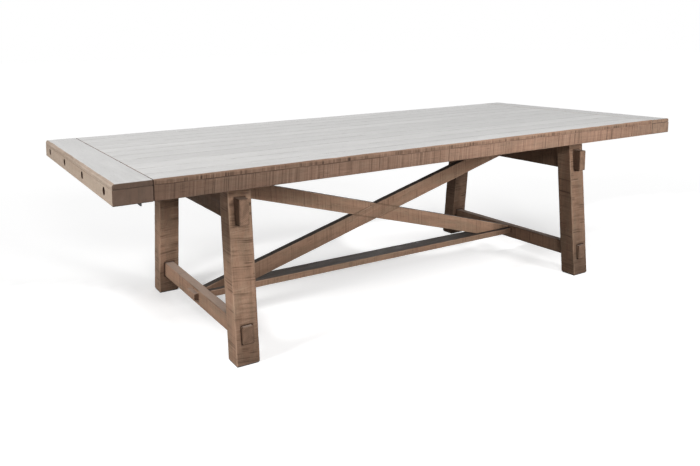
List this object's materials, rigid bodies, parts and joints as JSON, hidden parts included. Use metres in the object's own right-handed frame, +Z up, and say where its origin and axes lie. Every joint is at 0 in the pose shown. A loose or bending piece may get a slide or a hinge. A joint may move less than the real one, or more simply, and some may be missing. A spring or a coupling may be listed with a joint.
{
  "type": "trestle dining table",
  "caption": "Long wooden trestle dining table with splayed A-frame ends, crossed braces, a planked top and breadboard ends that draw out on hidden runners.",
  "frame": {"origin": "on the floor, below the middle of the table", "axes": "+X along the table's length to its right-hand end, +Y to its back edge, +Z up"},
  "size_m": [2.921, 1.067, 0.762],
  "materials": {
    "top_boards": "pale limed satin",
    "edge_rails": "rough-sawn, waxed",
    "trestle_wood": "rough-sawn, waxed",
    "hidden_wood": "sawn, bare",
    "black_steel": "matt black",
    "glide_plastic": "matt"
  },
  "bodies": {
    "frame": {"top_plank_01": "top_boards", "top_plank_02": "top_boards", "top_plank_03": "top_boards", "top_plank_04": "top_boards", "top_plank_05": "top_boards", "top_plank_06": "top_boards", "top_plank_07": "top_boards", "top_plank_08": "top_boards", "top_plank_09": "top_boards", "top_plank_10": "top_boards", "top_plank_11": "top_boards", "side_rail_front": "edge_rails", "side_rail_back": "edge_rails", "end_rail_left": "hidden_wood", "end_rail_right": "hidden_wood", "cross_batten_left": "hidden_wood", "cross_batten_middle": "hidden_wood", "cross_batten_right": "hidden_wood", "leg_left_front": "trestle_wood", "leg_left_back": "trestle_wood", "leg_right_front": "trestle_wood", "leg_right_back": "trestle_wood", "bolster_left": "trestle_wood", "bolster_right": "trestle_wood", "cross_stretcher_left": "trestle_wood", "cross_stretcher_right": "trestle_wood", "long_stretcher": "trestle_wood", "brace_rising": "trestle_wood", "brace_falling": "trestle_wood", "foot_glides": "glide_plastic", "catch_studs": "black_steel", "top_brackets_left": "black_steel", "top_brackets_right": "black_steel", "bracket_screws_left": "black_steel", "bracket_screws_right": "black_steel"},
    "left_end": {"breadboard_left": "top_boards", "breadboard_rail_left": "edge_rails", "runner_left_1": "hidden_wood", "runner_left_2": "hidden_wood", "runner_left_3": "hidden_wood", "runner_left_4": "hidden_wood", "end_bolts_left": "black_steel", "stop_pins_left": "hidden_wood", "catch_pivot_left": "black_steel"},
    "right_end": {"breadboard_right": "top_boards", "breadboard_rail_right": "edge_rails", "runner_right_1": "hidden_wood", "runner_right_2": "hidden_wood", "runner_right_3": "hidden_wood", "runner_right_4": "hidden_wood", "end_bolts_right": "black_steel", "stop_pins_right": "hidden_wood", "catch_pivot_right": "black_steel"},
    "catch_left": {"catch_lever_left": "black_steel"},
    "catch_right": {"catch_lever_right": "black_steel"}
  },
  "joints": [
    {"name": "left_end_slide", "type": "slide", "parent": "frame", "child": "left_end", "axis": [-1, 0, 0], "range_m": [0, 0.457]},
    {"name": "right_end_slide", "type": "slide", "parent": "frame", "child": "right_end", "axis": [1, 0, 0], "range_m": [0, 0.457]},
    {"name": "catch_left_turn", "type": "hinge", "parent": "left_end", "child": "catch_left", "pos_m": [-1.3685, -0.4905, 0.6881], "axis": [0, 0, -1], "range_deg": [0, 90]},
    {"name": "catch_right_turn", "type": "hinge", "parent": "right_end", "child": "catch_right", "pos_m": [1.3685, 0.4905, 0.6881], "axis": [0, 0, -1], "range_deg": [0, 90]}
  ]
}
